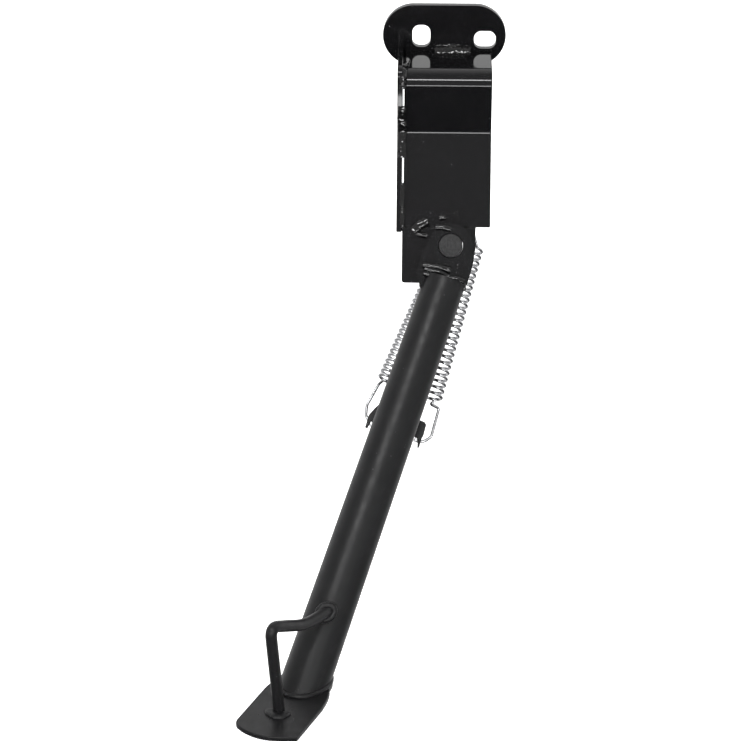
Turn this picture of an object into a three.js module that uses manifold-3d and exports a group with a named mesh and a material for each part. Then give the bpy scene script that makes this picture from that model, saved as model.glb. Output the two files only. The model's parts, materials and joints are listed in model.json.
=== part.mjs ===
// Scooter side stand: a bolted bracket, a pivoting tube leg with a foot plate, and two return springs.
//
// Row frame, millimetres: +X is the rear of the vehicle, +Y points into its frame, +Z is up.
// The origin is the centre of the mounting flange's back face. The stand is modelled down (deployed).
import * as THREE from 'three';
import { mergeVertices } from 'three/addons/utils/BufferGeometryUtils.js';
import Module from 'manifold-3d';

const wasm = await Module();
wasm.setup();

// ---- driving dimensions -------------------------------------------------------------------------
const GAP = 0.3; // seam between pieces that the real stand welds or presses together

// mounting flange
const FLANGE = { length: 58.8, height: 29.6, thickness: 4 };
const SLOT_TALL = { x: -11, z: -0.3, width: 8.6, height: 10.8, corner: 3.5 };
const SLOT_WIDE = { x: 19.4, z: -2, width: 10.4, height: 8.6, corner: 3.5 };

// folded bracket: a shelf out of the flange, a face bent down from it, then a slight outward bend
const BRACKET = { left: -18.6, right: 22.6, thickness: 3.2, top: -7.8 };
const FACE_Y = -38;
const SHELF_BEND = 7.2; // outside radius of the fold at the shelf's front edge
const SPLAY_BEND = 9; // radius of the soft outward bend, on the front
const SPLAY_Z = -38; // height where the two front planes of the face meet
const SPLAY = THREE.MathUtils.degToRad(20); // the lower face, the lug and the swing plane lean out by this
const LOWER_FACE = 44; // length of the leaning part of the face

// gusset closing the bracket's left side
const GUSSET = { left: -21.9, thickness: 2.5, top: -5.8, flangeEnd: -12.9, foot: 46.5, depth: 13 };

// pivot, in the leaning plane: u to the right, v up, n out of the face
const PIVOT_DROP = 52.6; // from the soft bend to the pin, along the lower face
const PIVOT_X = 4;
const LUG = { thickness: 5, left: -23.1, bottom: -17.9, radius: 11.7, stopSide: 10.2 };
const PIN = { radius: 5.6, proud: 0.6, back: -13.2 };
const BUSH = { inner: 5.9, outer: 7.4 };
const CHEEK = { thickness: 4, bore: 5.95 };
const FRONT_CHEEK = { head: 10.6, left: -11.4, right: 13.3, end: 27 };
const REAR_CHEEK = { head: 12, left: -11.8, right: 13.6, end: 25 };
const WASHER = { outer: 8.6, thickness: 1.2 };
const CLIP = { outer: 7.6, inner: 5.0, thickness: 1.2, groove: 4.7 };

// leg
const RAKE = THREE.MathUtils.degToRad(18.8); // lean of the leg in the swing plane, forwards
const OUTREACH = THREE.MathUtils.degToRad(12); // angle of the tube out of the swing plane
const TUBE_OFFSET = 3.15; // from the pin's axis to the tube's axis
const TUBE = { start: 16.6, length: 217, topRadius: 9.85, footRadius: 11.35, wall: 2.3 };
const SWING_CENTRE = -2.5; // mid-plane of the lug, where the tube's axis starts

// foot plate and kick rod
const FOOT = { thickness: 2.3, left: -15.4, right: 16.1, heelWidth: 12.5, heelDepth: 14.5, reach: 43.2, bulge: 5.8 };
const FOOT_YAW = THREE.MathUtils.degToRad(21.5);
const ROD_RADIUS = 2.7;

// springs and their anchors
const SPRING = { wire: 0.68, radius: 3.2, turns: 25 };
const ANCHOR_ROD = { radius: 2.4, v: 11, n: -19.4, left: -6, right: 15 };
const ANCHOR_PLATE = { u: 3, thickness: 3.4 };
const HOOK_PLATE = { thickness: 2.5, y: -88, rightReach: 14.6, leftReach: 13.1 };

// ---- finishes -----------------------------------------------------------------------------------
const blackPaint = () => new THREE.MeshStandardMaterial({ color: 0x17181a, roughness: 0.38, metalness: 0.0 });
const legPaint = () => new THREE.MeshStandardMaterial({ color: 0x1d1d1f, roughness: 0.45, metalness: 0.0 });
const weldPaint = () => new THREE.MeshStandardMaterial({ color: 0x0e0e10, roughness: 0.22, metalness: 0.0 });
const brightZinc = () => new THREE.MeshStandardMaterial({ color: 0xc9cbce, roughness: 0.25, metalness: 1.0 });
const darkSteel = () => new THREE.MeshStandardMaterial({ color: 0x4a4a4c, roughness: 0.5, metalness: 0.8 });

// ---- frames -------------------------------------------------------------------------------------
const stand = new THREE.Group();
const swingFrame = new THREE.Group(); // x = u, y = v, z = n, origin on the pin's axis at the face's front
swingFrame.position.set(
  PIVOT_X,
  FACE_Y - PIVOT_DROP * Math.sin(SPLAY),
  SPLAY_Z - PIVOT_DROP * Math.cos(SPLAY),
);
swingFrame.rotation.x = Math.PI / 2 - SPLAY;
stand.add(swingFrame);

const legFrame = new THREE.Group(); // as swingFrame, turned so that the leg points along -y
legFrame.rotation.z = -RAKE;
swingFrame.add(legFrame);

const tubeFrame = new THREE.Group(); // y is the tube's axis, z the side that faces out
tubeFrame.position.set(TUBE_OFFSET, 0, SWING_CENTRE);
tubeFrame.rotation.x = -OUTREACH;
legFrame.add(tubeFrame);
stand.updateMatrixWorld(true);

const footFrame = new THREE.Group(); // x to the right of the foot, -y forwards, z up, origin at the tube's end
footFrame.position.copy(new THREE.Vector3(0, -TUBE.length, 0).applyMatrix4(tubeFrame.matrixWorld));
footFrame.rotation.z = -FOOT_YAW;
stand.add(footFrame);
stand.updateMatrixWorld(true);

function between(fromFrame, toFrame) {
  return toFrame.matrixWorld.clone().invert().multiply(fromFrame.matrixWorld);
}

// ---- solids -------------------------------------------------------------------------------------
function solid(geometry) {
  const bare = geometry.clone();
  bare.deleteAttribute('normal');
  bare.deleteAttribute('uv');
  const merged = mergeVertices(bare, 1e-4);
  return new wasm.Manifold(new wasm.Mesh({
    numProp: 3,
    vertProperties: new Float32Array(merged.attributes.position.array),
    triVerts: new Uint32Array(merged.index.array),
  }));
}

function toGeometry(manifold) {
  const mesh = manifold.getMesh();
  const geometry = new THREE.BufferGeometry();
  geometry.setAttribute('position', new THREE.BufferAttribute(new Float32Array(mesh.vertProperties), 3));
  geometry.setIndex(new THREE.BufferAttribute(new Uint32Array(mesh.triVerts), 1));
  return geometry;
}

function cut(geometry, ...tools) {
  return toGeometry(tools.reduce((left, tool) => left.subtract(solid(tool)), solid(geometry)));
}

function addPart(parent, name, geometry, material) {
  const mesh = new THREE.Mesh(geometry, material);
  mesh.name = name;
  parent.add(mesh);
  return mesh;
}

// a flat plate on the local xy plane, from z0 up by its thickness
function plate(shape, z0, thickness, curveSegments = 10) {
  const geometry = new THREE.ExtrudeGeometry(shape, { depth: thickness, bevelEnabled: false, curveSegments });
  return geometry.translate(0, 0, z0);
}

// an outline in the y-z plane, extruded along x from x0
function sidePlate(shape, x0, width, curveSegments = 10) {
  const geometry = new THREE.ExtrudeGeometry(shape, { depth: width, bevelEnabled: false, curveSegments });
  const axes = new THREE.Matrix4().makeBasis(
    new THREE.Vector3(0, 1, 0),
    new THREE.Vector3(0, 0, 1),
    new THREE.Vector3(1, 0, 0),
  );
  return geometry.applyMatrix4(axes).translate(x0, 0, 0);
}

function disc(radius, z0, thickness, x = 0, y = 0, segments = 32) {
  const geometry = new THREE.CylinderGeometry(radius, radius, thickness, segments);
  return geometry.rotateX(Math.PI / 2).translate(x, y, z0 + thickness / 2);
}

function roundHole(radius, x = 0, y = 0) {
  const hole = new THREE.Path();
  hole.absarc(x, y, radius, 0, Math.PI * 2, true);
  return hole;
}

// a rectangle with rounded corners
function roundedBox(path, centreX, centreY, width, height, radius) {
  const dx = width / 2 - radius;
  const dy = height / 2 - radius;
  const quarter = Math.PI / 2;
  const corners = [[dx, dy], [-dx, dy], [-dx, -dy], [dx, -dy]];
  corners.forEach(([x, y], i) => {
    path.absarc(centreX + x, centreY + y, radius, i * quarter, (i + 1) * quarter, false);
  });
  path.closePath();
  return path;
}

// a strip walked along its front surface: straight lengths, and bends given as [turn, front radius]
function bentStrip(start, heading, steps, thickness, arcSteps = 8) {
  const front = [];
  const back = [];
  let here = start.clone();
  let angle = heading;
  const mark = () => {
    front.push(here.clone());
    const inward = new THREE.Vector2(-Math.sin(angle), Math.cos(angle));
    back.push(here.clone().addScaledVector(inward, thickness));
  };
  mark();
  for (const step of steps) {
    if (typeof step === 'number') {
      here = here.clone().add(new THREE.Vector2(Math.cos(angle), Math.sin(angle)).multiplyScalar(step));
      mark();
      continue;
    }
    const [turn, radius] = step;
    const small = turn / arcSteps;
    for (let i = 0; i < arcSteps; i += 1) {
      const chord = 2 * radius * Math.sin(Math.abs(small) / 2);
      const direction = angle + small / 2;
      here = here.clone().add(new THREE.Vector2(Math.cos(direction), Math.sin(direction)).multiplyScalar(chord));
      angle += small;
      mark();
    }
  }
  return new THREE.Shape([...front, ...back.reverse()]);
}

// a weld bead: half of a rounded bar lying along x, its flat side on z = 0
function bead(length, width, height) {
  const radius = width / 2;
  const profile = [new THREE.Vector2(0, -length / 2)];
  const ringSteps = 4;
  for (let i = 1; i <= ringSteps; i += 1) {
    const angle = (i / ringSteps) * Math.PI / 2;
    profile.push(new THREE.Vector2(radius * Math.sin(angle), -length / 2 + radius * (1 - Math.cos(angle))));
  }
  for (let i = ringSteps; i >= 1; i -= 1) {
    const angle = (i / ringSteps) * Math.PI / 2;
    profile.push(new THREE.Vector2(radius * Math.sin(angle), length / 2 - radius * (1 - Math.cos(angle))));
  }
  profile.push(new THREE.Vector2(0, length / 2));
  const bar = new THREE.LatheGeometry(profile, 12).rotateZ(Math.PI / 2).scale(1, 1, height / radius);
  const under = new THREE.BoxGeometry(length * 2, width * 2, height * 4).translate(0, 0, -height * 2);
  return cut(bar, under);
}

// ---- bracket ------------------------------------------------------------------------------------
function mountingFlange() {
  const { length, height, thickness } = FLANGE;
  const shape = roundedBox(new THREE.Shape(), 0, 0, length, height, height / 2 - 0.01);
  for (const slot of [SLOT_TALL, SLOT_WIDE]) {
    shape.holes.push(roundedBox(new THREE.Path(), -slot.x, slot.z, slot.width, slot.height, slot.corner));
  }
  return plate(shape, 0, thickness, 10).applyMatrix4(new THREE.Matrix4().makeBasis(
    new THREE.Vector3(-1, 0, 0),
    new THREE.Vector3(0, 0, 1),
    new THREE.Vector3(0, 1, 0),
  )).translate(0, -thickness, 0);
}

function bracketChannel() {
  const start = new THREE.Vector2(-FLANGE.thickness - GAP, BRACKET.top);
  const shelf = start.x - (FACE_Y + SHELF_BEND);
  const bendTangent = SPLAY_BEND * Math.tan(SPLAY / 2);
  const upperFace = BRACKET.top - SHELF_BEND - SPLAY_Z - bendTangent;
  const steps = [shelf, [Math.PI / 2, SHELF_BEND], upperFace, [-SPLAY, SPLAY_BEND], LOWER_FACE - bendTangent];
  const profile = bentStrip(start, Math.PI, steps, BRACKET.thickness);
  return sidePlate(profile, BRACKET.left, BRACKET.right - BRACKET.left);
}

// a point of the leaning lower face's side view, at a distance down the face and behind its front
function leaning(down, behind) {
  return new THREE.Vector2(
    FACE_Y - down * Math.sin(SPLAY) + behind * Math.cos(SPLAY),
    SPLAY_Z - down * Math.cos(SPLAY) - behind * Math.sin(SPLAY),
  );
}

function sideGusset() {
  const back = -FLANGE.thickness - GAP;
  const nose = 5;
  const shape = new THREE.Shape();
  shape.moveTo(back, GUSSET.top);
  shape.lineTo(FACE_Y + nose, GUSSET.top);
  shape.quadraticCurveTo(FACE_Y, GUSSET.top, FACE_Y, GUSSET.top - nose);
  shape.lineTo(FACE_Y, SPLAY_Z);
  for (const corner of [leaning(GUSSET.foot, 0), leaning(GUSSET.foot, GUSSET.depth), leaning(0, GUSSET.depth)]) {
    shape.lineTo(corner.x, corner.y);
  }
  shape.lineTo(back, GUSSET.flangeEnd);
  shape.closePath();
  return sidePlate(shape, GUSSET.left, GUSSET.thickness, 6);
}

// ---- pivot --------------------------------------------------------------------------------------
// unit vectors of the leg in the swing plane
const ALONG = new THREE.Vector2(-Math.sin(RAKE), -Math.cos(RAKE));
const LEFTWARDS = new THREE.Vector2(-Math.cos(RAKE), Math.sin(RAKE));

function pivotLug() {
  const top = PIVOT_DROP - LOWER_FACE - GAP;
  const stop = LUG.stopSide - TUBE_OFFSET;
  const onStop = (along) => ALONG.clone().multiplyScalar(along).addScaledVector(LEFTWARDS, stop);
  const upper = onStop(12.4);
  const slope = ALONG.y;
  const lower = onStop((LUG.bottom - LEFTWARDS.y * stop) / slope);
  const corner = 1.6;
  const shape = new THREE.Shape();
  shape.moveTo(LUG.left, top);
  shape.lineTo(LUG.left, LUG.bottom + corner);
  shape.quadraticCurveTo(LUG.left, LUG.bottom, LUG.left + corner, LUG.bottom);
  shape.lineTo(lower.x, lower.y);
  shape.lineTo(upper.x, upper.y);
  shape.absarc(0, 0, LUG.radius, Math.atan2(upper.y, upper.x) + Math.PI * 2, Math.PI * 2, false);
  shape.lineTo(LUG.radius, top);
  shape.closePath();
  shape.holes.push(roundHole(BUSH.outer + GAP));
  return plate(shape, -LUG.thickness, LUG.thickness, 14);
}

function pivotBush() {
  const shape = new THREE.Shape();
  shape.absarc(0, 0, BUSH.outer, 0, Math.PI * 2, false);
  shape.holes.push(roundHole(BUSH.inner));
  return plate(shape, -LUG.thickness, LUG.thickness, 14);
}

// a cheek plate in the leg frame: a round head about the pin, flanks down beside the tube
function cheek(size, z0) {
  const blend = 5;
  const shape = new THREE.Shape();
  shape.moveTo(size.head, 0);
  shape.absarc(0, 0, size.head, 0, Math.PI, false);
  shape.quadraticCurveTo(size.left, -blend, size.left, -blend * 2);
  shape.lineTo(size.left, -size.end + blend * 2);
  shape.lineTo(TUBE_OFFSET - TUBE.topRadius + 2, -size.end);
  shape.lineTo(TUBE_OFFSET + TUBE.topRadius - 2, -size.end);
  shape.lineTo(size.right, -size.end + blend * 2);
  shape.quadraticCurveTo(size.right, -blend, size.head, 0);
  shape.holes.push(roundHole(CHEEK.bore));
  return plate(shape, z0, CHEEK.thickness, 12);
}

const FRONT_CHEEK_N = GAP + 0.05;
const REAR_CHEEK_N = -LUG.thickness - GAP - 0.05 - CHEEK.thickness;
const PIN_FRONT = FRONT_CHEEK_N + CHEEK.thickness + PIN.proud;
const WASHER_N = REAR_CHEEK_N - GAP - WASHER.thickness;
const CLIP_N = WASHER_N - GAP - CLIP.thickness;

// a pin turned from bar, with a broad chamfer on its peened front end and a groove for the clip
function pivotPin() {
  const chamfer = 0.7;
  const profile = [
    [0, PIN.back], [PIN.radius - chamfer, PIN.back], [PIN.radius, PIN.back + chamfer],
    [PIN.radius, CLIP_N - 0.1], [CLIP.groove, CLIP_N - 0.1],
    [CLIP.groove, CLIP_N + CLIP.thickness + 0.1], [PIN.radius, CLIP_N + CLIP.thickness + 0.1],
    [PIN.radius, PIN_FRONT - chamfer / 2], [PIN.radius - chamfer, PIN_FRONT], [0, PIN_FRONT],
  ].map(([radius, height]) => new THREE.Vector2(radius, height));
  return new THREE.LatheGeometry(profile, 32).rotateX(Math.PI / 2);
}

function pinWasher() {
  const shape = new THREE.Shape();
  shape.absarc(0, 0, WASHER.outer, 0, Math.PI * 2, false);
  shape.holes.push(roundHole(BUSH.inner));
  return plate(shape, WASHER_N, WASHER.thickness, 14);
}

// an E-clip: most of a ring, open on one side
function pinClip() {
  const opening = 0.55;
  const shape = new THREE.Shape();
  shape.absarc(0, 0, CLIP.outer, opening, Math.PI * 2 - opening, false);
  shape.absarc(0, 0, CLIP.inner, Math.PI * 2 - opening, opening, true);
  shape.closePath();
  return plate(shape, CLIP_N, CLIP.thickness, 14);
}

// ---- leg ----------------------------------------------------------------------------------------
const tubeRadius = (along) => TUBE.topRadius + (TUBE.footRadius - TUBE.topRadius) * (along / TUBE.length);

function tubeRing(extra, bore) {
  const end = TUBE.length + 20;
  const top = TUBE.start;
  const ring = bore
    ? [[tubeRadius(top) - TUBE.wall, -top], [tubeRadius(top) + extra, -top],
      [tubeRadius(end) + extra, -end], [tubeRadius(end) - TUBE.wall, -end], [tubeRadius(top) - TUBE.wall, -top]]
    : [[0, -end], [tubeRadius(end) + extra, -end], [tubeRadius(top) + extra, -top], [0, -top]];
  const points = ring.map(([radius, height]) => new THREE.Vector2(radius, height));
  return new THREE.LatheGeometry(bore ? points.reverse() : points, 36);
}

function belowFoot(clearance) {
  const size = 120;
  return new THREE.BoxGeometry(size, size, size).translate(0, 0, clearance - size / 2);
}

function legTube() {
  const toTube = between(legFrame, tubeFrame);
  const slotFor = (size, z0) => {
    const grown = { ...size, left: size.left - 8, right: size.right + 8, end: size.end + GAP };
    const width = grown.right - grown.left;
    const box = new THREE.BoxGeometry(width, grown.end, CHEEK.thickness + 2 * GAP);
    return box.translate((grown.left + grown.right) / 2, -grown.end / 2, z0 + CHEEK.thickness / 2)
      .applyMatrix4(toTube);
  };
  return cut(
    tubeRing(0, true),
    slotFor(FRONT_CHEEK, FRONT_CHEEK_N),
    slotFor(REAR_CHEEK, REAR_CHEEK_N),
    belowFoot(GAP).applyMatrix4(between(footFrame, tubeFrame)),
  );
}

// where each spring's hook sits, in the notch between an ear's finger and the tube
const HOOK_SEATS = {
  right: new THREE.Vector2(HOOK_PLATE.rightReach - 2.8, HOOK_PLATE.y - 3),
  left: new THREE.Vector2(-HOOK_PLATE.leftReach + 2, HOOK_PLATE.y - 3),
};

// the cross plate behind the tube: an ear at each side for a spring's hook, each with a finger pointing down
function hookPlate() {
  const { rightReach: right, leftReach: left, y } = HOOK_PLATE;
  const root = 9.2;
  const outline = [
    [root, y - 3.2], [right - 3.8, y - 2.5], [right - 1.8, y - 3.8], [right - 0.9, y - 7.2],
    [right - 0.1, y - 6.9], [right - 0.3, y - 2.6], [right, y - 0.2], [right - 0.4, y + 4.6],
    [right - 1.5, y + 5.6], [-left + 2.6, y + 6], [-left + 1.4, y + 3.6], [-left, y],
    [-left + 0.2, y - 6.1], [-left + 1.5, y - 6.4], [-left + 2, y - 2.4], [-root, y - 3.2],
  ].map(([x, height]) => new THREE.Vector2(x, height));
  const behind = -tubeRadius(-y) - GAP - HOOK_PLATE.thickness;
  return plate(new THREE.Shape(outline), behind, HOOK_PLATE.thickness);
}

// foot plate: a round heel about the tube, straight sides, and a bowed toe with one eased corner
function footPlate() {
  const { left, right, heelWidth, heelDepth, reach, bulge } = FOOT;
  const middle = (left + right) / 2;
  const toe = reach + bulge;
  const ease = 3.5;
  const shape = new THREE.Shape();
  shape.moveTo(right, -17);
  shape.quadraticCurveTo(right - 0.5, -6.2, heelWidth, 0);
  shape.absellipse(0, 0, heelWidth, heelDepth, 0, Math.PI, false);
  shape.quadraticCurveTo(left, -5, left, -12);
  shape.lineTo(left, -reach + ease);
  shape.quadraticCurveTo(left, -reach - 0.6, left + 3, -reach - 2.2);
  shape.quadraticCurveTo(middle - 7, -toe, middle, -toe);
  shape.quadraticCurveTo(middle + 5.5, -toe, right, -reach - 0.9);
  shape.closePath();
  return plate(shape, -FOOT.thickness, FOOT.thickness, 10);
}

// kick rod: from the tube's front, out and round a tight bend, down to the foot plate
function roundedPath(points, radius) {
  const path = new THREE.CurvePath();
  let from = points[0];
  for (let i = 1; i < points.length - 1; i += 1) {
    const corner = points[i];
    const arrive = corner.clone().lerp(points[i - 1], radius / corner.distanceTo(points[i - 1]));
    const leave = corner.clone().lerp(points[i + 1], radius / corner.distanceTo(points[i + 1]));
    path.add(new THREE.LineCurve3(from, arrive));
    path.add(new THREE.QuadraticBezierCurve3(arrive, corner, leave));
    from = leave;
  }
  path.add(new THREE.LineCurve3(from, points[points.length - 1]));
  return path;
}

function roundSection(radius, sides) {
  const shape = new THREE.Shape();
  for (let i = 0; i < sides; i += 1) {
    const angle = (i / sides) * Math.PI * 2;
    if (i === 0) shape.moveTo(radius * Math.cos(angle), radius * Math.sin(angle));
    else shape.lineTo(radius * Math.cos(angle), radius * Math.sin(angle));
  }
  shape.closePath();
  return shape;
}

const ROD_POINTS = [
  new THREE.Vector3(9.6, 16, 33.2),
  new THREE.Vector3(3.8, -8, 35.7),
  new THREE.Vector3(-1.1, -34, 47.4),
  new THREE.Vector3(-0.5, -27.4, GAP - 6),
];

function kickRod() {
  const path = roundedPath(ROD_POINTS, 7);
  const bar = new THREE.ExtrudeGeometry(roundSection(ROD_RADIUS, 12), { steps: 48, extrudePath: path });
  const tubeEnvelope = tubeRing(GAP, false).applyMatrix4(between(tubeFrame, footFrame));
  const pieces = solid(bar).subtract(solid(tubeEnvelope)).subtract(solid(belowFoot(GAP))).decompose();
  pieces.sort((one, other) => other.volume() - one.volume());
  return toGeometry(pieces[0]);
}

// ---- springs ------------------------------------------------------------------------------------
// the ends of each spring, in the swing frame
const hookAt = (seat) => {
  const behind = -tubeRadius(-HOOK_PLATE.y) - GAP - HOOK_PLATE.thickness / 2;
  return new THREE.Vector3(seat.x, seat.y, behind).applyMatrix4(between(tubeFrame, swingFrame));
};
const besideTube = (x, y, z) => new THREE.Vector3(x, y, z).applyMatrix4(between(tubeFrame, swingFrame));
const SPRINGS = {
  right_spring: {
    anchorU: 11.2,
    coilTop: new THREE.Vector3(12.2, -2, -19),
    coilEnd: besideTube(13.9, -71.5, -11.8),
    hook: hookAt(HOOK_SEATS.right),
  },
  left_spring: {
    anchorU: -2.2,
    coilTop: new THREE.Vector3(-4.8, -6, -19),
    coilEnd: besideTube(-11.5, -70.5, -12.4),
    hook: hookAt(HOOK_SEATS.left),
  },
};

// one wire: a loop over the anchor rod, close coils, and a straight tail to the ear
class SpringWire extends THREE.Curve {
  constructor(anchor, coilTop, coilEnd, tail) {
    super();
    this.parts = { anchor, coilTop, coilEnd, tail };
    this.axis = coilEnd.clone().sub(coilTop).normalize();
    this.side = new THREE.Vector3(0, 0, 1).cross(this.axis).normalize();
    this.out = this.axis.clone().cross(this.side).normalize();
  }

  getPoint(t, target = new THREE.Vector3()) {
    const { anchor, coilTop, coilEnd, tail } = this.parts;
    const lead = 0.04;
    if (t < lead) {
      const start = this.onCoil(0);
      return target.copy(anchor).lerp(start, t / lead);
    }
    if (t > 1 - lead) {
      const end = this.onCoil(1);
      return target.copy(end).lerp(tail, (t - 1 + lead) / lead);
    }
    const along = (t - lead) / (1 - 2 * lead);
    return target.copy(this.onCoil(along));
  }

  onCoil(along) {
    const { coilTop, coilEnd } = this.parts;
    const angle = along * SPRING.turns * Math.PI * 2;
    return coilTop.clone().lerp(coilEnd, along)
      .addScaledVector(this.side, SPRING.radius * Math.cos(angle))
      .addScaledVector(this.out, SPRING.radius * Math.sin(angle));
  }
}

function springWire({ anchorU, coilTop, coilEnd, hook }) {
  const anchor = new THREE.Vector3(anchorU, ANCHOR_ROD.v - ANCHOR_ROD.radius - 1.2, ANCHOR_ROD.n);
  const clearOfEar = { along: 1.4, behind: HOOK_PLATE.thickness + 0.7 };
  const tail = hook.clone().lerp(coilEnd, clearOfEar.along / hook.distanceTo(coilEnd));
  tail.z -= clearOfEar.behind;
  const wire = new SpringWire(anchor, coilTop, coilEnd, tail);
  wire.arcLengthDivisions = 2000;
  return new THREE.ExtrudeGeometry(roundSection(SPRING.wire, 4), { steps: SPRING.turns * 9, extrudePath: wire });
}

function anchorBar(extra) {
  const { radius, left, right, v, n } = ANCHOR_ROD;
  const bar = new THREE.CylinderGeometry(radius + extra, radius + extra, right - left, 20);
  return bar.rotateZ(Math.PI / 2).translate((left + right) / 2, v, n);
}

// a cranked plate that stands off the back of the face and carries the rod
function anchorPlate() {
  const root = -BRACKET.thickness - GAP;
  const far = ANCHOR_ROD.n - 4;
  const near = ANCHOR_ROD.n + 4.4;
  const shape = new THREE.Shape();
  shape.moveTo(13.4, root);
  shape.lineTo(27, root);
  shape.lineTo(25, near);
  shape.lineTo(15.4, far);
  shape.lineTo(6.6, far);
  shape.lineTo(6.6, near);
  shape.lineTo(13.4, near);
  shape.closePath();
  const blank = sidePlate(shape, ANCHOR_PLATE.u, ANCHOR_PLATE.thickness);
  return cut(blank, anchorBar(GAP));
}

// ---- welds --------------------------------------------------------------------------------------
// [name, frame, length, width, height, position, rotation about x, y, z]
const QUARTER = Math.PI / 2;
const FACE_FRONT = GAP;
const SPLIT = PIVOT_DROP - LOWER_FACE;
const CHEEK_FRONT = FRONT_CHEEK_N + CHEEK.thickness + GAP;
const WELDS = [
  ['weld_flange_top', stand, 18, 6, 2.2, [4, -7.4, BRACKET.top + GAP], [0, 0, 0]],
  ['weld_flange_under', stand, 30, 4, 1.8, [2, -6.6, BRACKET.top - BRACKET.thickness - GAP], [Math.PI, 0, 0]],
  ['weld_gusset_shelf', stand, 10, 3.4, 1.6, [-17.5, -25.5, BRACKET.top + GAP], [0, 0, QUARTER]],
  ['weld_gusset_upper', stand, 11, 4.4, 1.6, [-19.3, FACE_Y - GAP, -30.5], [QUARTER, 0, QUARTER]],
  ['weld_gusset_middle', swingFrame, 10.5, 4.4, 1.6, [-23.3, PIVOT_DROP - 6.6, FACE_FRONT], [0, 0, QUARTER]],
  ['weld_gusset_lower', swingFrame, 20, 3, 1.1, [-23.1, PIVOT_DROP - 33, FACE_FRONT], [0, 0, QUARTER]],
  ['weld_lug_front', swingFrame, 10.5, 6.4, 2.4, [-15.6, SPLIT + 0.6, FACE_FRONT], [0, 0, -0.12]],
  ['weld_lug_tack', swingFrame, 4.4, 3, 1.3, [-3.6, SPLIT + 4.8, FACE_FRONT], [0, 0, 0]],
  ['weld_lug_rear', swingFrame, 26, 3.4, 1.6, [-5, SPLIT + 2.2, -BRACKET.thickness - GAP], [Math.PI, 0, 0]],
  ['weld_anchor_plate', swingFrame, 11, 3, 1.5, [0.9, 20, -BRACKET.thickness - GAP], [Math.PI, 0, QUARTER]],
  ['weld_pin_head', legFrame, 7.4, 3, 1.3, [-3.4, 7.6, CHEEK_FRONT], [0, 0, RAKE * 0.7]],
  ['weld_cheek_front', legFrame, 12.5, 3.6, 2.2, [-1.6, -12.2, CHEEK_FRONT], [0, 0, 0]],
  ['weld_cheek_lower', legFrame, 7.2, 2.6, 1.6, [8.8, -12.6, CHEEK_FRONT], [0, 0, 0]],
  ['weld_cheek_rear', legFrame, 10, 3.6, 2.0, [TUBE_OFFSET, -18, REAR_CHEEK_N - GAP], [Math.PI, 0, 0]],
  ['weld_hook_plate_top', tubeFrame, 8, 3, 1.3, [0, HOOK_PLATE.y + 7.9, -tubeRadius(80) - GAP], [Math.PI, 0, 0]],
  ['weld_hook_plate_low', tubeFrame, 8, 3, 1.3, [0, HOOK_PLATE.y - 5.2, -tubeRadius(94) - GAP], [Math.PI, 0, 0]],
  ['weld_rod_foot', footFrame, 9, 5.4, 2.4, [-0.2, -34.6, GAP], [0, 0, 0]],
];

function addWelds() {
  for (const [name, frame, length, width, height, position, turn] of WELDS) {
    const mesh = addPart(frame, name, bead(length, width, height), weldPaint());
    mesh.position.set(...position);
    mesh.rotation.set(...turn);
  }
}

// a low collar of weld around the tube's base, clear of the tube and the plate
function footWeld() {
  const profile = [[0, GAP], [12.4, GAP], [12.25, 1.1], [12, 2], [0, 2]];
  const points = profile.map(([radius, height]) => new THREE.Vector2(radius, height));
  const heading = new THREE.Vector3(0, -1, 0).transformDirection(between(tubeFrame, footFrame));
  const lean = Math.atan2(heading.x, -heading.y);
  const stretch = 1.16;
  const collar = new THREE.LatheGeometry(points, 36).rotateX(Math.PI / 2).scale(1, stretch, 1).rotateZ(lean);
  return cut(collar, tubeRing(GAP, false).applyMatrix4(between(tubeFrame, footFrame)));
}

// a weld ring where the kick rod meets the tube
function rodWeld() {
  const toFoot = between(tubeFrame, footFrame);
  const direction = ROD_POINTS[0].clone().sub(ROD_POINTS[1]).normalize();
  const aim = new THREE.Quaternion().setFromUnitVectors(new THREE.Vector3(0, 1, 0), direction);
  const place = new THREE.Matrix4().compose(ROD_POINTS[1], aim, new THREE.Vector3(1, 1, 1));
  const reach = ROD_POINTS[0].distanceTo(ROD_POINTS[1]);
  const sleeve = new THREE.CylinderGeometry(ROD_RADIUS + 2, ROD_RADIUS + 2, reach, 20);
  sleeve.translate(0, reach / 2, 0).applyMatrix4(place);
  const rodEnvelope = new THREE.CylinderGeometry(ROD_RADIUS + GAP, ROD_RADIUS + GAP, reach * 2, 20);
  rodEnvelope.translate(0, reach / 2, 0).applyMatrix4(place);
  const shell = solid(tubeRing(GAP + 2, false).applyMatrix4(toFoot));
  const inner = solid(tubeRing(GAP, false).applyMatrix4(toFoot));
  return toGeometry(solid(sleeve).intersect(shell).subtract(inner).subtract(solid(rodEnvelope)));
}

// ---- assembly -----------------------------------------------------------------------------------
addPart(stand, 'mounting_flange', mountingFlange(), blackPaint());
addPart(stand, 'bracket_channel', bracketChannel(), blackPaint());
addPart(stand, 'side_gusset', sideGusset(), blackPaint());
addPart(swingFrame, 'pivot_lug', pivotLug(), blackPaint());
addPart(swingFrame, 'pivot_bush', pivotBush(), darkSteel());
addPart(swingFrame, 'spring_anchor_rod', anchorBar(0), blackPaint());
addPart(swingFrame, 'spring_anchor_plate', anchorPlate(), blackPaint());
addPart(legFrame, 'pivot_pin', pivotPin(), darkSteel());
addPart(legFrame, 'pin_washer', pinWasher(), darkSteel());
addPart(legFrame, 'pin_clip', pinClip(), darkSteel());
addPart(legFrame, 'front_cheek', cheek(FRONT_CHEEK, FRONT_CHEEK_N), legPaint());
addPart(legFrame, 'rear_cheek', cheek(REAR_CHEEK, REAR_CHEEK_N), legPaint());
addPart(tubeFrame, 'leg_tube', legTube(), legPaint());
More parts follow.
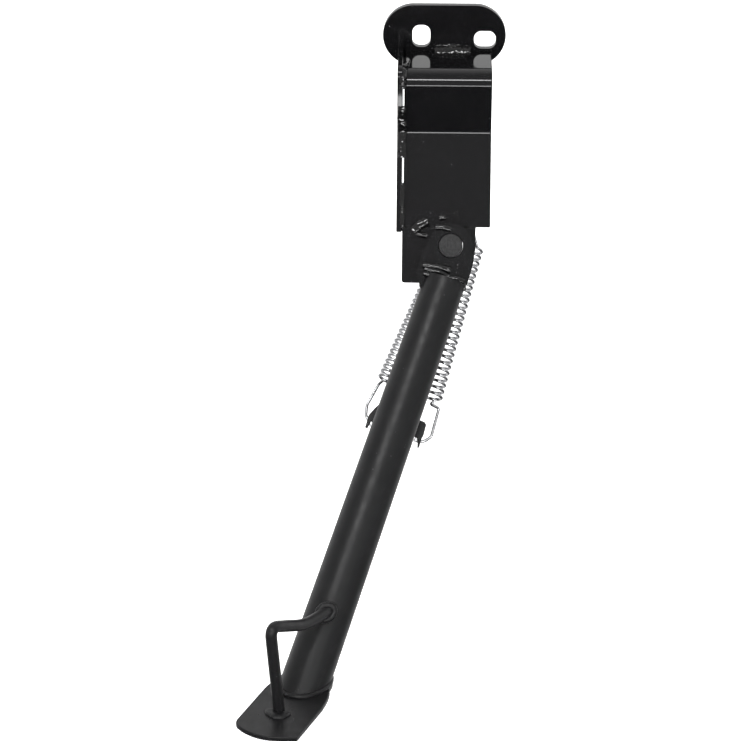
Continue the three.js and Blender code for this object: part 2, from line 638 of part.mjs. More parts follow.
addPart(tubeFrame, 'spring_hook_plate', hookPlate(), legPaint());
addPart(footFrame, 'foot_plate', footPlate(), legPaint());
addPart(footFrame, 'kick_rod', kickRod(), legPaint());
addPart(footFrame, 'weld_foot', footWeld(), weldPaint());
addPart(footFrame, 'weld_rod_tube', rodWeld(), weldPaint());
addWelds();
for (const [name, spring] of Object.entries(SPRINGS)) {
  addPart(swingFrame, name, springWire(spring), brightZinc());
}

export default stand;
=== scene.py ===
"""Scooter side stand: black-enamelled steel bracket and leg, bright return springs, on a pale floor."""
import json
import math

import bmesh
import bpy
from mathutils import Matrix, Vector

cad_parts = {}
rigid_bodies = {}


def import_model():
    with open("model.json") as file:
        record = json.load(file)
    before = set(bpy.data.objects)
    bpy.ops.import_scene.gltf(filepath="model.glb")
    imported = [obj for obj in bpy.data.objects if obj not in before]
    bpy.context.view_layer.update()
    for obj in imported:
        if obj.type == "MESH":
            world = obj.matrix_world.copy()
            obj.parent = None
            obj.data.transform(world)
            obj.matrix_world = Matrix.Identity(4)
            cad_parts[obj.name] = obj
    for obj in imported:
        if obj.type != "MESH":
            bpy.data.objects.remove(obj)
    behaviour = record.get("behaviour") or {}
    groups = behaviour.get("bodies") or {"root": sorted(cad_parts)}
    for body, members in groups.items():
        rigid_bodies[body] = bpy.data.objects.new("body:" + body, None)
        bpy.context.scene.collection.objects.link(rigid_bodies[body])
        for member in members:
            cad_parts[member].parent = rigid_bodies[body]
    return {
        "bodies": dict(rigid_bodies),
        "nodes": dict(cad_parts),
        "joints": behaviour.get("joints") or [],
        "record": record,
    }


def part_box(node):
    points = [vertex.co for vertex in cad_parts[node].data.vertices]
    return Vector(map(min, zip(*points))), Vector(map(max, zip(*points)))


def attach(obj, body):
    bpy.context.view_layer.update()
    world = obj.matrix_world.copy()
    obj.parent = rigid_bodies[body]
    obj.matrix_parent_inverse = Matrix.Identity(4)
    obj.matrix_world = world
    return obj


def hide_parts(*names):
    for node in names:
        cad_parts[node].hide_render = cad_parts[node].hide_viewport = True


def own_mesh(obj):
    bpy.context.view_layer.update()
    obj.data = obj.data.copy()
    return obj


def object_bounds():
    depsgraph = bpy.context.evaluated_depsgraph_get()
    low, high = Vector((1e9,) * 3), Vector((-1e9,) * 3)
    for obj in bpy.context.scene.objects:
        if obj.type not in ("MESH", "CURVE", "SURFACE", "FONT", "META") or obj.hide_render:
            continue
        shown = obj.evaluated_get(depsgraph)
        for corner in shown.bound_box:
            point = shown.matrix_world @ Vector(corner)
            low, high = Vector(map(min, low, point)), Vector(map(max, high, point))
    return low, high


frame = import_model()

CAD_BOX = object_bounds()
MM = 0.001

# ---- frames, from the record's pivot and the stand's driving angles --------------------------------
JOINTS = {joint["name"]: joint for joint in frame["joints"]}
PIVOT = Vector(JOINTS["leg_pivot"]["pos_m"])
OUTWARD = Vector(JOINTS["leg_pivot"]["axis"]).normalized()
RAKE = math.radians(18.8)
OUTREACH = math.radians(12)
FOOT_YAW = math.radians(21.5)
TUBE_OFFSET = 3.15 * MM
SWING_CENTRE = -2.5 * MM
TUBE_LENGTH = 217 * MM


def axes(x, y, z, origin):
    """A matrix from three unit vectors and an origin."""
    turn = Matrix((x, y, z)).transposed().to_4x4()
    return Matrix.Translation(origin) @ turn


ACROSS = Vector((1, 0, 0))
SWING = axes(ACROSS, OUTWARD.cross(ACROSS), OUTWARD, PIVOT)
LEG = SWING @ Matrix.Rotation(-RAKE, 4, "Z")
TUBE = LEG @ Matrix.Translation((TUBE_OFFSET, 0, SWING_CENTRE)) @ Matrix.Rotation(-OUTREACH, 4, "X")
FOOT = Matrix.Translation(TUBE @ Vector((0, -TUBE_LENGTH, 0))) @ Matrix.Rotation(-FOOT_YAW, 4, "Z")
SHELF_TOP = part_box("bracket_channel")[1].z
FLANGE_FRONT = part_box("mounting_flange")[0].y


# ---- nodes and colours ---------------------------------------------------------------------------
def linear(hex_colour):
    """An sRGB hex value as linear RGBA."""
    channels = [int(hex_colour[i:i + 2], 16) / 255 for i in (1, 3, 5)]
    return tuple(c / 12.92 if c <= 0.04045 else ((c + 0.055) / 1.055) ** 2.4 for c in channels) + (1.0,)


def add_node(tree, kind, settings=(), links=()):
    """One node: settings are (attribute or socket, value) pairs, links are (socket, source) pairs."""
    node = tree.nodes.new(kind)
    for key, value in dict(settings).items():
        if isinstance(key, str) and hasattr(node, key):
            setattr(node, key, value)
        else:
            node.inputs[key].default_value = value
    for key, source in dict(links).items():
        tree.links.new(source, node.inputs[key])
    return node


def new_material(name):
    """An empty node material, its tree, its Principled shader and the Object coordinates."""
    material = bpy.data.materials.new(name)
    material.use_nodes = True
    tree = material.node_tree
    tree.nodes.clear()
    shader = add_node(tree, "ShaderNodeBsdfPrincipled")
    add_node(tree, "ShaderNodeOutputMaterial", links={"Surface": shader.outputs["BSDF"]})
    place = add_node(tree, "ShaderNodeTexCoord").outputs["Object"]
    return material, tree, shader, place


def per_metre(size_mm):
    """A texture scale for features of this size."""
    return 1000 / size_mm


def enamel(name, deep, worn, roughness, peel_mm, peel_depth_mm, ior=1.5):
    """Stoved black enamel: nearly black with a faint cloud, fine dust nibs, and orange peel in the gloss."""
    material, tree, shader, place = new_material(name)
    cloud = add_node(tree, "ShaderNodeTexNoise", {"Scale": per_metre(14), "Detail": 4.0}, {"Vector": place})
    nibs = add_node(tree, "ShaderNodeTexVoronoi", {"Scale": per_metre(3.2)}, {"Vector": place})
    nib_mask = add_node(
        tree, "ShaderNodeMapRange",
        {"From Min": 0.05, "From Max": 0.11, "To Min": 1.0, "To Max": 0.0},
        {"Value": nibs.outputs["Distance"]},
    )
    chance = add_node(tree, "ShaderNodeTexNoise", {"Scale": per_metre(5), "Detail": 1.0}, {"Vector": place})
    picked = add_node(
        tree, "ShaderNodeMath", {"operation": "GREATER_THAN", 1: 0.58}, {0: chance.outputs["Fac"]},
    )
    nib = add_node(
        tree, "ShaderNodeMath", {"operation": "MULTIPLY"},
        {0: nib_mask.outputs["Result"], 1: picked.outputs["Value"]},
    )
    body = add_node(
        tree, "ShaderNodeMix", {"data_type": "RGBA", 6: linear(deep), 7: linear(worn)},
        {0: cloud.outputs["Fac"]},
    )
    dusted = add_node(
        tree, "ShaderNodeMix", {"data_type": "RGBA", 7: linear("#3a3a3c")},
        {0: nib.outputs["Value"], 6: body.outputs[2]},
    )
    tree.links.new(dusted.outputs[2], shader.inputs["Base Color"])
    haze = add_node(tree, "ShaderNodeTexNoise", {"Scale": per_metre(5), "Detail": 3.0}, {"Vector": place})
    gloss = add_node(
        tree, "ShaderNodeMapRange",
        {"From Min": 0.3, "From Max": 0.7, "To Min": roughness * 0.85, "To Max": roughness * 1.25},
        {"Value": haze.outputs["Fac"]},
    )
    tree.links.new(gloss.outputs["Result"], shader.inputs["Roughness"])
    peel = add_node(
        tree, "ShaderNodeTexNoise", {"Scale": per_metre(peel_mm), "Detail": 2.0}, {"Vector": place},
    )
    relief = add_node(
        tree, "ShaderNodeBump", {"Strength": 0.6, "Distance": peel_depth_mm * MM},
        {"Height": peel.outputs["Fac"]},
    )
    grit = add_node(
        tree, "ShaderNodeBump", {"Strength": 0.5, "Distance": 0.03 * MM},
        {"Height": nib.outputs["Value"], "Normal": relief.outputs["Normal"]},
    )
    tree.links.new(grit.outputs["Normal"], shader.inputs["Normal"])
    shader.inputs["IOR"].default_value = ior
    return material


def bright_zinc(name):
    """Bright zinc plate on drawn spring wire: silvery, a little cloudy, with fine die lines."""
    material, tree, shader, place = new_material(name)
    cloud = add_node(tree, "ShaderNodeTexNoise", {"Scale": per_metre(2.5), "Detail": 3.0}, {"Vector": place})
    tone = add_node(
        tree, "ShaderNodeMix", {"data_type": "RGBA", 6: linear("#e2e3e6"), 7: linear("#fafafb")},
        {0: cloud.outputs["Fac"]},
    )
    tree.links.new(tone.outputs[2], shader.inputs["Base Color"])
    gloss = add_node(
        tree, "ShaderNodeMapRange", {"To Min": 0.2, "To Max": 0.36}, {"Value": cloud.outputs["Fac"]},
    )
    tree.links.new(gloss.outputs["Result"], shader.inputs["Roughness"])
    grain = add_node(tree, "ShaderNodeTexNoise", {"Scale": per_metre(0.35)}, {"Vector": place})
    relief = add_node(
        tree, "ShaderNodeBump", {"Strength": 0.35, "Distance": 0.01 * MM}, {"Height": grain.outputs["Fac"]},
    )
    tree.links.new(relief.outputs["Normal"], shader.inputs["Normal"])
    shader.inputs["Metallic"].default_value = 1.0
    return material


def peened_steel(name, tone_low, tone_high, metallic, roughness):
    """Thinly blackened mild steel, hammered over: dull grey, with dents and lines left by the tool."""
    material, tree, shader, place = new_material(name)
    stretch = add_node(tree, "ShaderNodeMapping", {"Scale": (1.0, 0.16, 0.16)}, {"Vector": place})
    lines = add_node(
        tree, "ShaderNodeTexNoise", {"Scale": per_metre(0.7), "Detail": 3.0},
        {"Vector": stretch.outputs["Vector"]},
    )
    dents = add_node(tree, "ShaderNodeTexVoronoi", {"Scale": per_metre(0.7)}, {"Vector": place})
    blend = add_node(
        tree, "ShaderNodeMath", {"operation": "MULTIPLY"},
        {0: lines.outputs["Fac"], 1: dents.outputs["Distance"]},
    )
    spread = add_node(
        tree, "ShaderNodeMapRange", {"From Min": 0.05, "From Max": 0.4}, {"Value": blend.outputs["Value"]},
    )
    tone = add_node(
        tree, "ShaderNodeMix", {"data_type": "RGBA", 6: linear(tone_low), 7: linear(tone_high)},
        {0: spread.outputs["Result"]},
    )
    tree.links.new(tone.outputs[2], shader.inputs["Base Color"])
    relief = add_node(
        tree, "ShaderNodeBump", {"Strength": 0.8, "Distance": 0.04 * MM},
        {"Height": spread.outputs["Result"]},
    )
    tree.links.new(relief.outputs["Normal"], shader.inputs["Normal"])
    shader.inputs["Metallic"].default_value = metallic
    shader.inputs["Roughness"].default_value = roughness
    return material


# gloss on the bracket, the cheeks and most welds mirrors the lamps in thin bright lines; satin on the
# leg, its rod, its foot and the beads round them spreads the same lamps into one broad soft streak
BRACKET_ENAMEL = enamel("bracket_gloss_enamel", "#080809", "#0c0c0d", 0.075, 2.2, 0.004)
CHEEK_ENAMEL = enamel("cheek_gloss_enamel", "#0a0a0b", "#101011", 0.12, 1.8, 0.004)
LEG_ENAMEL = enamel("leg_satin_enamel", "#101011", "#161617", 0.36, 1.3, 0.006, 1.4)
WELD_ENAMEL = enamel("weld_gloss_enamel", "#060606", "#0a0a0b", 0.1, 0.9, 0.02, 1.75)
WELD_SATIN = enamel("weld_satin_enamel", "#101011", "#171718", 0.34, 0.9, 0.02, 1.4)
ZINC = bright_zinc("spring_bright_zinc")
PIN_STEEL = peened_steel("pin_peened_steel", "#0c0c0d", "#252526", 0.0, 0.62)
PLAIN_STEEL = peened_steel("pivot_oiled_steel", "#5a5a5b", "#8c8c8d", 0.9, 0.48)


# ---- geometry node trees --------------------------------------------------------------------------
def new_tree(name, inputs):
    """A geometry tree with a Geometry input and output and the named inputs; gives the tree and both ends."""
    tree = bpy.data.node_groups.new(name, "GeometryNodeTree")
    tree.interface.new_socket("Geometry", in_out="INPUT", socket_type="NodeSocketGeometry")
    for label, kind in inputs:
        tree.interface.new_socket(label, in_out="INPUT", socket_type=kind)
    tree.interface.new_socket("Geometry", in_out="OUTPUT", socket_type="NodeSocketGeometry")
    start = add_node(tree, "NodeGroupInput")
    return tree, start


def close_tree(tree, start, geometry):
    """The common end of a tree: smooth shading, real geometry, one material."""
    smooth = add_node(tree, "GeometryNodeSetShadeSmooth", links={"Geometry": geometry})
    real = add_node(tree, "GeometryNodeRealizeInstances", links={"Geometry": smooth.outputs["Geometry"]})
    painted = add_node(
        tree, "GeometryNodeSetMaterial",
        links={"Geometry": real.outputs["Geometry"], "Material": start.outputs["Material"]},
    )
    add_node(tree, "NodeGroupOutput", links={"Geometry": painted.outputs["Geometry"]})
    return tree


def wire_tree():
    """A round wire or rod along a path."""
    tree, start = new_tree("wire_along_path", [
        ("Wire Radius", "NodeSocketFloat"), ("Sides", "NodeSocketInt"), ("Material", "NodeSocketMaterial"),
    ])
    section = add_node(
        tree, "GeometryNodeCurvePrimitiveCircle",
        links={"Resolution": start.outputs["Sides"], "Radius": start.outputs["Wire Radius"]},
    )
    wire = add_node(
        tree, "GeometryNodeCurveToMesh", {"Fill Caps": True},
        {"Curve": start.outputs["Geometry"], "Profile Curve": section.outputs["Curve"]},
    )
    return close_tree(tree, start, wire.outputs["Mesh"])


def bead_tree():
    """An arc weld along a path that lies on the local xy plane: rounded ends, chevron ripples, lumps."""
    tree, start = new_tree("weld_along_path", [
        ("Half Width", "NodeSocketFloat"), ("Height", "NodeSocketFloat"), ("Ripple Pitch", "NodeSocketFloat"),
        ("Ripple Depth", "NodeSocketFloat"), ("Lump Size", "NodeSocketFloat"),
        ("Lump Height", "NodeSocketFloat"),
        ("Seed", "NodeSocketFloat"), ("Material", "NodeSocketMaterial"),
    ])
    fine = add_node(
        tree, "GeometryNodeResampleCurve", {"mode": "LENGTH", "Length": 0.22 * MM},
        {"Curve": start.outputs["Geometry"]},
    )
    upright = add_node(
        tree, "GeometryNodeSetCurveNormal", {"mode": "Z_UP"}, {"Curve": fine.outputs["Curve"]},
    )
    along = add_node(tree, "GeometryNodeSplineParameter")
    middle = add_node(
        tree, "ShaderNodeMapRange", {"To Min": -1.0, "To Max": 1.0}, {"Value": along.outputs["Factor"]},
    )
    power = add_node(
        tree, "ShaderNodeMath", {"operation": "POWER", 1: 6.0},
        {0: add_node(
            tree, "ShaderNodeMath", {"operation": "ABSOLUTE"}, {0: middle.outputs["Result"]},
        ).outputs["Value"]},
    )
    left_over = add_node(
        tree, "ShaderNodeMath", {"operation": "SUBTRACT", 0: 1.02}, {1: power.outputs["Value"]},
    )
    ends = add_node(tree, "ShaderNodeMath", {"operation": "SQRT"}, {0: left_over.outputs["Value"]})
    steps = add_node(
        tree, "ShaderNodeMath", {"operation": "DIVIDE"},
        {0: along.outputs["Length"], 1: start.outputs["Ripple Pitch"]},
    )
    turns = add_node(
        tree, "ShaderNodeMath", {"operation": "MULTIPLY", 1: math.tau}, {0: steps.outputs["Value"]},
    )
    wave = add_node(tree, "ShaderNodeMath", {"operation": "SINE"}, {0: turns.outputs["Value"]})
    ripple = add_node(
        tree, "ShaderNodeMath", {"operation": "MULTIPLY_ADD", 2: 1.0},
        {0: wave.outputs["Value"], 1: start.outputs["Ripple Depth"]},
    )
    swell = add_node(
        tree, "ShaderNodeMath", {"operation": "MULTIPLY"},
        {0: ends.outputs["Value"], 1: ripple.outputs["Value"]},
    )
    shaped = add_node(
        tree, "GeometryNodeSetCurveRadius",
        links={"Curve": upright.outputs["Curve"], "Radius": swell.outputs["Value"]},
    )
    circle = add_node(tree, "GeometryNodeCurvePrimitiveCircle", {"Resolution": 24, "Radius": 1.0})
    squash = add_node(
        tree, "ShaderNodeCombineXYZ", {"Z": 1.0},
        {"X": start.outputs["Half Width"], "Y": start.outputs["Height"]},
    )
    section = add_node(
        tree, "GeometryNodeTransform",
        links={"Geometry": circle.outputs["Curve"], "Scale": squash.outputs["Vector"]},
    )
    bead = add_node(
        tree, "GeometryNodeCurveToMesh", {"Fill Caps": True},
        {"Curve": shaped.outputs["Curve"], "Profile Curve": section.outputs["Geometry"]},
    )
    place = add_node(tree, "GeometryNodeInputPosition")
    seeded = add_node(
        tree, "ShaderNodeVectorMath", {"operation": "ADD"},
        {0: place.outputs["Position"], 1: start.outputs["Seed"]},
    )
    frequency = add_node(
        tree, "ShaderNodeMath", {"operation": "DIVIDE", 0: 1.0}, {1: start.outputs["Lump Size"]},
    )
    lumps = add_node(
        tree, "ShaderNodeTexNoise", {"Detail": 2.0},
        {"Vector": seeded.outputs["Vector"], "Scale": frequency.outputs["Value"]},
    )
    centred = add_node(tree, "ShaderNodeMath", {"operation": "SUBTRACT", 1: 0.5}, {0: lumps.outputs["Fac"]})
    push = add_node(
        tree, "ShaderNodeMath", {"operation": "MULTIPLY"},
        {0: centred.outputs["Value"], 1: start.outputs["Lump Height"]},
    )
    normal = add_node(tree, "GeometryNodeInputNormal")
    offset = add_node(
        tree, "ShaderNodeVectorMath", {"operation": "SCALE"},
        {0: normal.outputs["Normal"], "Scale": push.outputs["Value"]},
    )
    moved = add_node(
        tree, "GeometryNodeSetPosition",
        links={"Geometry": bead.outputs["Mesh"], "Offset": offset.outputs["Vector"]},
    )
    return close_tree(tree, start, moved.outputs["Geometry"])


def spatter_tree():
    """Weld spatter: small flattened drops scattered over a patch of surface."""
    tree, start = new_tree("spatter_on_surface", [
        ("Density", "NodeSocketFloat"), ("Smallest", "NodeSocketFloat"), ("Largest", "NodeSocketFloat"),
        ("Seed", "NodeSocketInt"), ("Material", "NodeSocketMaterial"),
    ])
    points = add_node(
        tree, "GeometryNodeDistributePointsOnFaces",
        links={"Mesh": start.outputs["Geometry"], "Density": start.outputs["Density"],
               "Seed": start.outputs["Seed"]},
    )
    drop = add_node(tree, "GeometryNodeMeshIcoSphere", {"Radius": 1.0, "Subdivisions": 2})
    size = add_node(
        tree, "FunctionNodeRandomValue",
        links={"Min": start.outputs["Smallest"], "Max": start.outputs["Largest"],
               "Seed": start.outputs["Seed"]},
    )
    squat = add_node(
        tree, "ShaderNodeVectorMath", {"operation": "SCALE", 0: (1.0, 1.0, 0.6)},
        {"Scale": size.outputs[1]},
    )
    drops = add_node(
        tree, "GeometryNodeInstanceOnPoints",
        links={"Points": points.outputs["Points"], "Instance": drop.outputs["Mesh"],
               "Rotation": points.outputs["Rotation"], "Scale": squat.outputs["Vector"]},
    )
    return close_tree(tree, start, drops.outputs["Instances"])


WIRE = wire_tree()
BEAD = bead_tree()
SPATTER = spatter_tree()


def run_tree(name, data, tree, values, place=None):
    """The plain mesh object that a tree makes from a curve or a mesh, put in place in its own vertices."""
    source = bpy.data.objects.new(name + "_source", data)
    bpy.context.scene.collection.objects.link(source)
    modifier = source.modifiers.new(tree.name, "NODES")
    modifier.node_group = tree
    sockets = {item.name: item.identifier for item in tree.interface.items_tree if item.in_out == "INPUT"}
    for label, value in values.items():
        modifier[sockets[label]] = value
    bpy.context.view_layer.update()
    ready = source.evaluated_get(bpy.context.evaluated_depsgraph_get())
    mesh = bpy.data.meshes.new_from_object(ready)
    bpy.data.objects.remove(source)
    if place is not None:
        mesh.transform(place)
    mesh.name = name
    piece = bpy.data.objects.new(name, mesh)
    bpy.context.scene.collection.objects.link(piece)
    return piece


def settle(piece, body, slot, *stands_for):
    """Hands a finished piece to the frame."""
    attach(piece, body)
    if stands_for:
        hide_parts(*stands_for)
    return piece


def path_curve(name, points):
    """An open poly curve through the points."""
    data = bpy.data.curves.new(name, "CURVE")
    data.dimensions = "3D"
    spline = data.splines.new("POLY")
    spline.points.add(len(points) - 1)
    for point, where in zip(spline.points, points):
        point.co = (*where, 1.0)
    return data


def rounded(points, radius, steps=8):
    """The points with each inner corner turned into an arc-like curve that starts radius before it."""
    route = [points[0]]
    for before, corner, after in zip(points, points[1:], points[2:]):
        arrive = corner + (before - corner).normalized() * radius
        leave = corner + (after - corner).normalized() * radius
        for i in range(steps + 1):
            t = i / steps
            route.append(arrive * (1 - t) ** 2 + corner * 2 * t * (1 - t) + leave * t * t)
    route.append(points[-1])
    return route


# ---- pressed and machined pieces: the CAD shape with its edges broken ---------------------------------
EASED_SEGMENTS = 3
SHARP_EDGE = math.radians(38)


def eased_copy(node, body, slot, material, edge_mm):
    """A copy of a CAD node, merged, with its hard edges rounded as a press or a file leaves them."""
    mesh = frame["nodes"][node].data.copy()
    mesh.name = node + "_eased"
    shell = bmesh.new()
    shell.from_mesh(mesh)
    bmesh.ops.remove_doubles(shell, verts=shell.verts, dist=0.002 * MM)
    bmesh.ops.dissolve_limit(shell, angle_limit=math.radians(0.6), verts=shell.verts, edges=shell.edges)
    shell.to_mesh(mesh)
    shell.free()
    mesh.materials.clear()
    mesh.materials.append(material)
    mesh.shade_smooth()
    source = bpy.data.objects.new(node + "_source", mesh)
    bpy.context.scene.collection.objects.link(source)
    bevel = source.modifiers.new("broken_edges", "BEVEL")
    bevel.width = edge_mm * MM
    bevel.segments = EASED_SEGMENTS
    bevel.limit_method = "ANGLE"
    bevel.angle_limit = SHARP_EDGE
    bevel.use_clamp_overlap = True
    weighted = source.modifiers.new("flat_faces", "WEIGHTED_NORMAL")
    weighted.keep_sharp = True
    weighted.weight = 60
    bpy.context.view_layer.update()
    ready = source.evaluated_get(bpy.context.evaluated_depsgraph_get())
    final = bpy.data.meshes.new_from_object(ready)
    final.name = node + "_eased"
    bpy.data.objects.remove(source)
    piece = bpy.data.objects.new(node + "_eased", final)
    bpy.context.scene.collection.objects.link(piece)
    return settle(piece, body, slot, node)


for node, edge in (
    ("mounting_flange", 0.45), ("bracket_channel", 0.5), ("side_gusset", 0.4), ("pivot_lug", 0.45),
    ("spring_anchor_rod", 0.4), ("spring_anchor_plate", 0.35),
):
    eased_copy(node, "bracket", "black_enamel", BRACKET_ENAMEL, edge)
for node, edge in (("spring_hook_plate", 0.35), ("foot_plate", 0.5), ("leg_tube", 0.2)):
    eased_copy(node, "leg", "leg_enamel", LEG_ENAMEL, edge)
for node in ("front_cheek", "rear_cheek"):
    eased_copy(node, "leg", "leg_enamel", CHEEK_ENAMEL, 0.5)
for node in ("pin_washer", "pin_clip"):
    eased_copy(node, "leg", "pin_steel", PLAIN_STEEL, 0.15)
eased_copy("pivot_bush", "bracket", "pin_steel", PLAIN_STEEL, 0.15)
eased_copy("pivot_pin", "leg", "pin_steel", PIN_STEEL, 0.15)


# ---- kick rod ------------------------------------------------------------------------------------
ROD_RADIUS = 2.7 * MM
ROD_BEND = 7 * MM
ROD_POINTS = [
    Vector(p) * MM for p in ((7.3, 11.2, 33.8), (3.8, -8, 35.7), (-1.1, -34, 47.4), (-0.5, -27.4, 0.3))
]
rod = run_tree(
    "kick_rod_bent", path_curve("kick_rod_path", rounded(ROD_POINTS, ROD_BEND, 14)), WIRE,
    {"Wire Radius": ROD_RADIUS, "Sides": 32, "Material": LEG_ENAMEL}, FOOT,
)
settle(rod, "leg", "leg_enamel", "kick_rod")


# ---- springs -------------------------------------------------------------------------------------
COIL_RADIUS = 3.2 * MM
WIRE_RADIUS = 0.78 * MM
STEPS_PER_TURN = 22


def coil_path(top, end, turns, from_angle):
    """Points of a helix from top to end, from an angle round its axis; negative turns wind the other way."""
    axis = (end - top).normalized()
    side = OUTWARD.cross(axis).normalized()
    out = axis.cross(side).normalized()
    count = int(abs(turns) * STEPS_PER_TURN)
    points = []
    for i in range(count + 1):
        share = i / count
        angle = from_angle + share * turns * math.tau
        ring = side * math.cos(angle) + out * math.sin(angle)
        points.append(top.lerp(end, share) + ring * COIL_RADIUS)
    return points


def spring(name, anchor_u, coil_top, coil_end_at, tail_local, turns, from_angle):
    """One return spring: a loop over the anchor rod, coils, and a bent tail hooked under the plate's ear."""
    low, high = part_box("spring_anchor_rod")
    rod_centre = Vector((PIVOT.x + anchor_u * MM, (low.y + high.y) / 2, (low.z + high.z) / 2))
    rod_clear = (high.z - low.z) / 2 + WIRE_RADIUS + 0.15 * MM
    top = SWING @ (Vector(coil_top) * MM)
    end = TUBE @ (Vector(coil_end_at) * MM)
    coil = coil_path(top, end, turns, from_angle)
    down = (end - top).normalized()
    loop = []
    for i in range(13):
        angle = math.radians(-100 + i * 280 / 12)
        loop.append(rod_centre + (down * -math.cos(angle) + OUTWARD * -math.sin(angle)) * rod_clear)
    lead = loop + [coil[0].lerp(loop[-1], 0.35)]
    tail = [TUBE @ (Vector(p) * MM) for p in tail_local]
    route = rounded([loop[0], *lead[1:]], 0.3 * MM, 2) + coil + rounded([coil[-1], *tail], 1.1 * MM, 6)[1:]
    piece = run_tree(
        name + "_wire", path_curve(name + "_path", route), WIRE,
        {"Wire Radius": WIRE_RADIUS, "Sides": 12, "Material": ZINC},
    )
    settle(piece, name + "_body", "spring_zinc", name)
    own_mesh(piece)
    return piece


spring("right_spring", 11.2, (12.2, -2, -19), (13.9, -71.5, -11.8),
       ((12.7, -73.6, -9.4), (17.3, -73.9, -11.4), (18.3, -87.7, -13.4), (16.0, -90.8, -14.4),
        (11.6, -92.2, -14.4), (11.6, -91.9, -8.8)),
       -25, math.radians(80))
spring("left_spring", -2.2, (-4.8, -6, -19), (-11.5, -70.5, -12.4),
       ((-13.5, -72.4, -12.4), (-15.5, -83.6, -13.3), (-14.4, -88.2, -14.4), (-10.4, -92.2, -14.4),
        (-10.4, -91.8, -8.8)),
       25, math.radians(100))


# ---- welds ---------------------------------------------------------------------------------------
def weld(name, body, nodes, place, points, half_width, height, seed,
         ripple=2.4, depth=0.06, lump=3.4, lumps=0.9, material=WELD_ENAMEL):
    """A weld bead along points (mm, in the frame given by place, z out of the surface)."""
    return settle(run_tree(
        name, path_curve(name + "_path", [Vector(p) * MM for p in points]), BEAD,
        {"Half Width": half_width * MM, "Height": height * MM, "Ripple Pitch": ripple * MM,
         "Ripple Depth": depth, "Lump Size": lump * MM, "Lump Height": lumps * MM,
         "Seed": seed, "Material": material}, place,
    ), body, "weld_enamel", *nodes)


def surface(origin, right, out):
    """A frame on a surface: x to the right, z out of it."""
    right = Vector(right).normalized()
    out = Vector(out).normalized()
    return axes(right, out.cross(right), out, Vector(origin))


def facing_back(frame, behind, x=0.0, y=0.0):
    """A frame turned to face backwards, with its origin this far behind the given one's."""
    return frame @ Matrix.Translation((x, y, -behind)) @ Matrix.Rotation(math.pi, 4, "X")


def in_frame(place, points):
    """Points given in the stand's own millimetres, in millimetres of another frame."""
    back = place.inverted()
    return [(back @ (Vector(p) * MM)) / MM for p in points]


shelf_corner = surface((0, FLANGE_FRONT - 0.4 * MM, SHELF_TOP + 0.4 * MM), (1, 0, 0), (0, -1, 1))
weld("weld_flange_top_bead", "bracket", ["weld_flange_top"], shelf_corner,
     [(-4.6, -0.6, 0), (4, 0, 0), (12.6, -0.4, 0)], 3.1, 1.9, 1.3,
     ripple=3.4, depth=0.05, lump=1.9, lumps=1.3)
weld("weld_flange_top_rope", "bracket", [], shelf_corner,
     [(-4.2, 2.2, 0.4), (0, 2.9, 0.6), (4, 2.3, 0.8), (8.4, 3.0, 0.5), (12.2, 2.4, 0.2)], 1.5, 1.2, 31.8,
     ripple=2.9, depth=0.1, lump=1.7, lumps=1.1)
weld("weld_flange_under_bead", "bracket", ["weld_flange_under"],
     surface((0, FLANGE_FRONT - 0.4 * MM, SHELF_TOP - 3.6 * MM), (1, 0, 0), (0, -1, -1)),
     [(-13, 0, 0), (17, 0, 0)], 2.4, 1.8, 2.1)

# between the gusset and the bracket: over the shelf and round its bend, then down the face
EDGE_X = -19.3
FACE_Y = -38
shelf_z = SHELF_TOP / MM + 0.2
over_bend = surface((EDGE_X * MM, (FACE_Y + 2) * MM, SHELF_TOP - 2 * MM), (0, -1, -1), (0, -1, 1))
weld("weld_gusset_shelf_bead", "bracket", ["weld_gusset_shelf"], over_bend,
     in_frame(over_bend, [
         (EDGE_X + 1.4, -20, shelf_z), (EDGE_X + 0.8, -30, shelf_z), (EDGE_X + 0.2, -34.5, shelf_z - 0.5),
         (EDGE_X, -37.2, shelf_z - 3.2), (EDGE_X, FACE_Y, shelf_z - 8.4),
     ]), 1.9, 1.4, 3.7)
down_face = surface((EDGE_X * MM, FACE_Y * MM, 0), (0, 0, 1), (0, -1, 0))
weld("weld_gusset_face_bead", "bracket", ["weld_gusset_upper", "weld_gusset_middle"], down_face,
     in_frame(down_face, [
         (EDGE_X, FACE_Y, -24.6), (EDGE_X - 0.4, FACE_Y - 0.1, -30), (EDGE_X, FACE_Y - 0.2, -37),
         (EDGE_X - 0.3, -39.9, -43), (EDGE_X - 0.1, -41.9, -48.6),
     ]), 2.2, 1.3, 4.4, lumps=1.2)
weld("weld_gusset_lower_bead", "bracket", ["weld_gusset_lower"], SWING,
     [(-23.0, 29.5, 0), (-23.2, 19, 0), (-22.9, 8.8, 0)], 1.3, 1.1, 5.9)

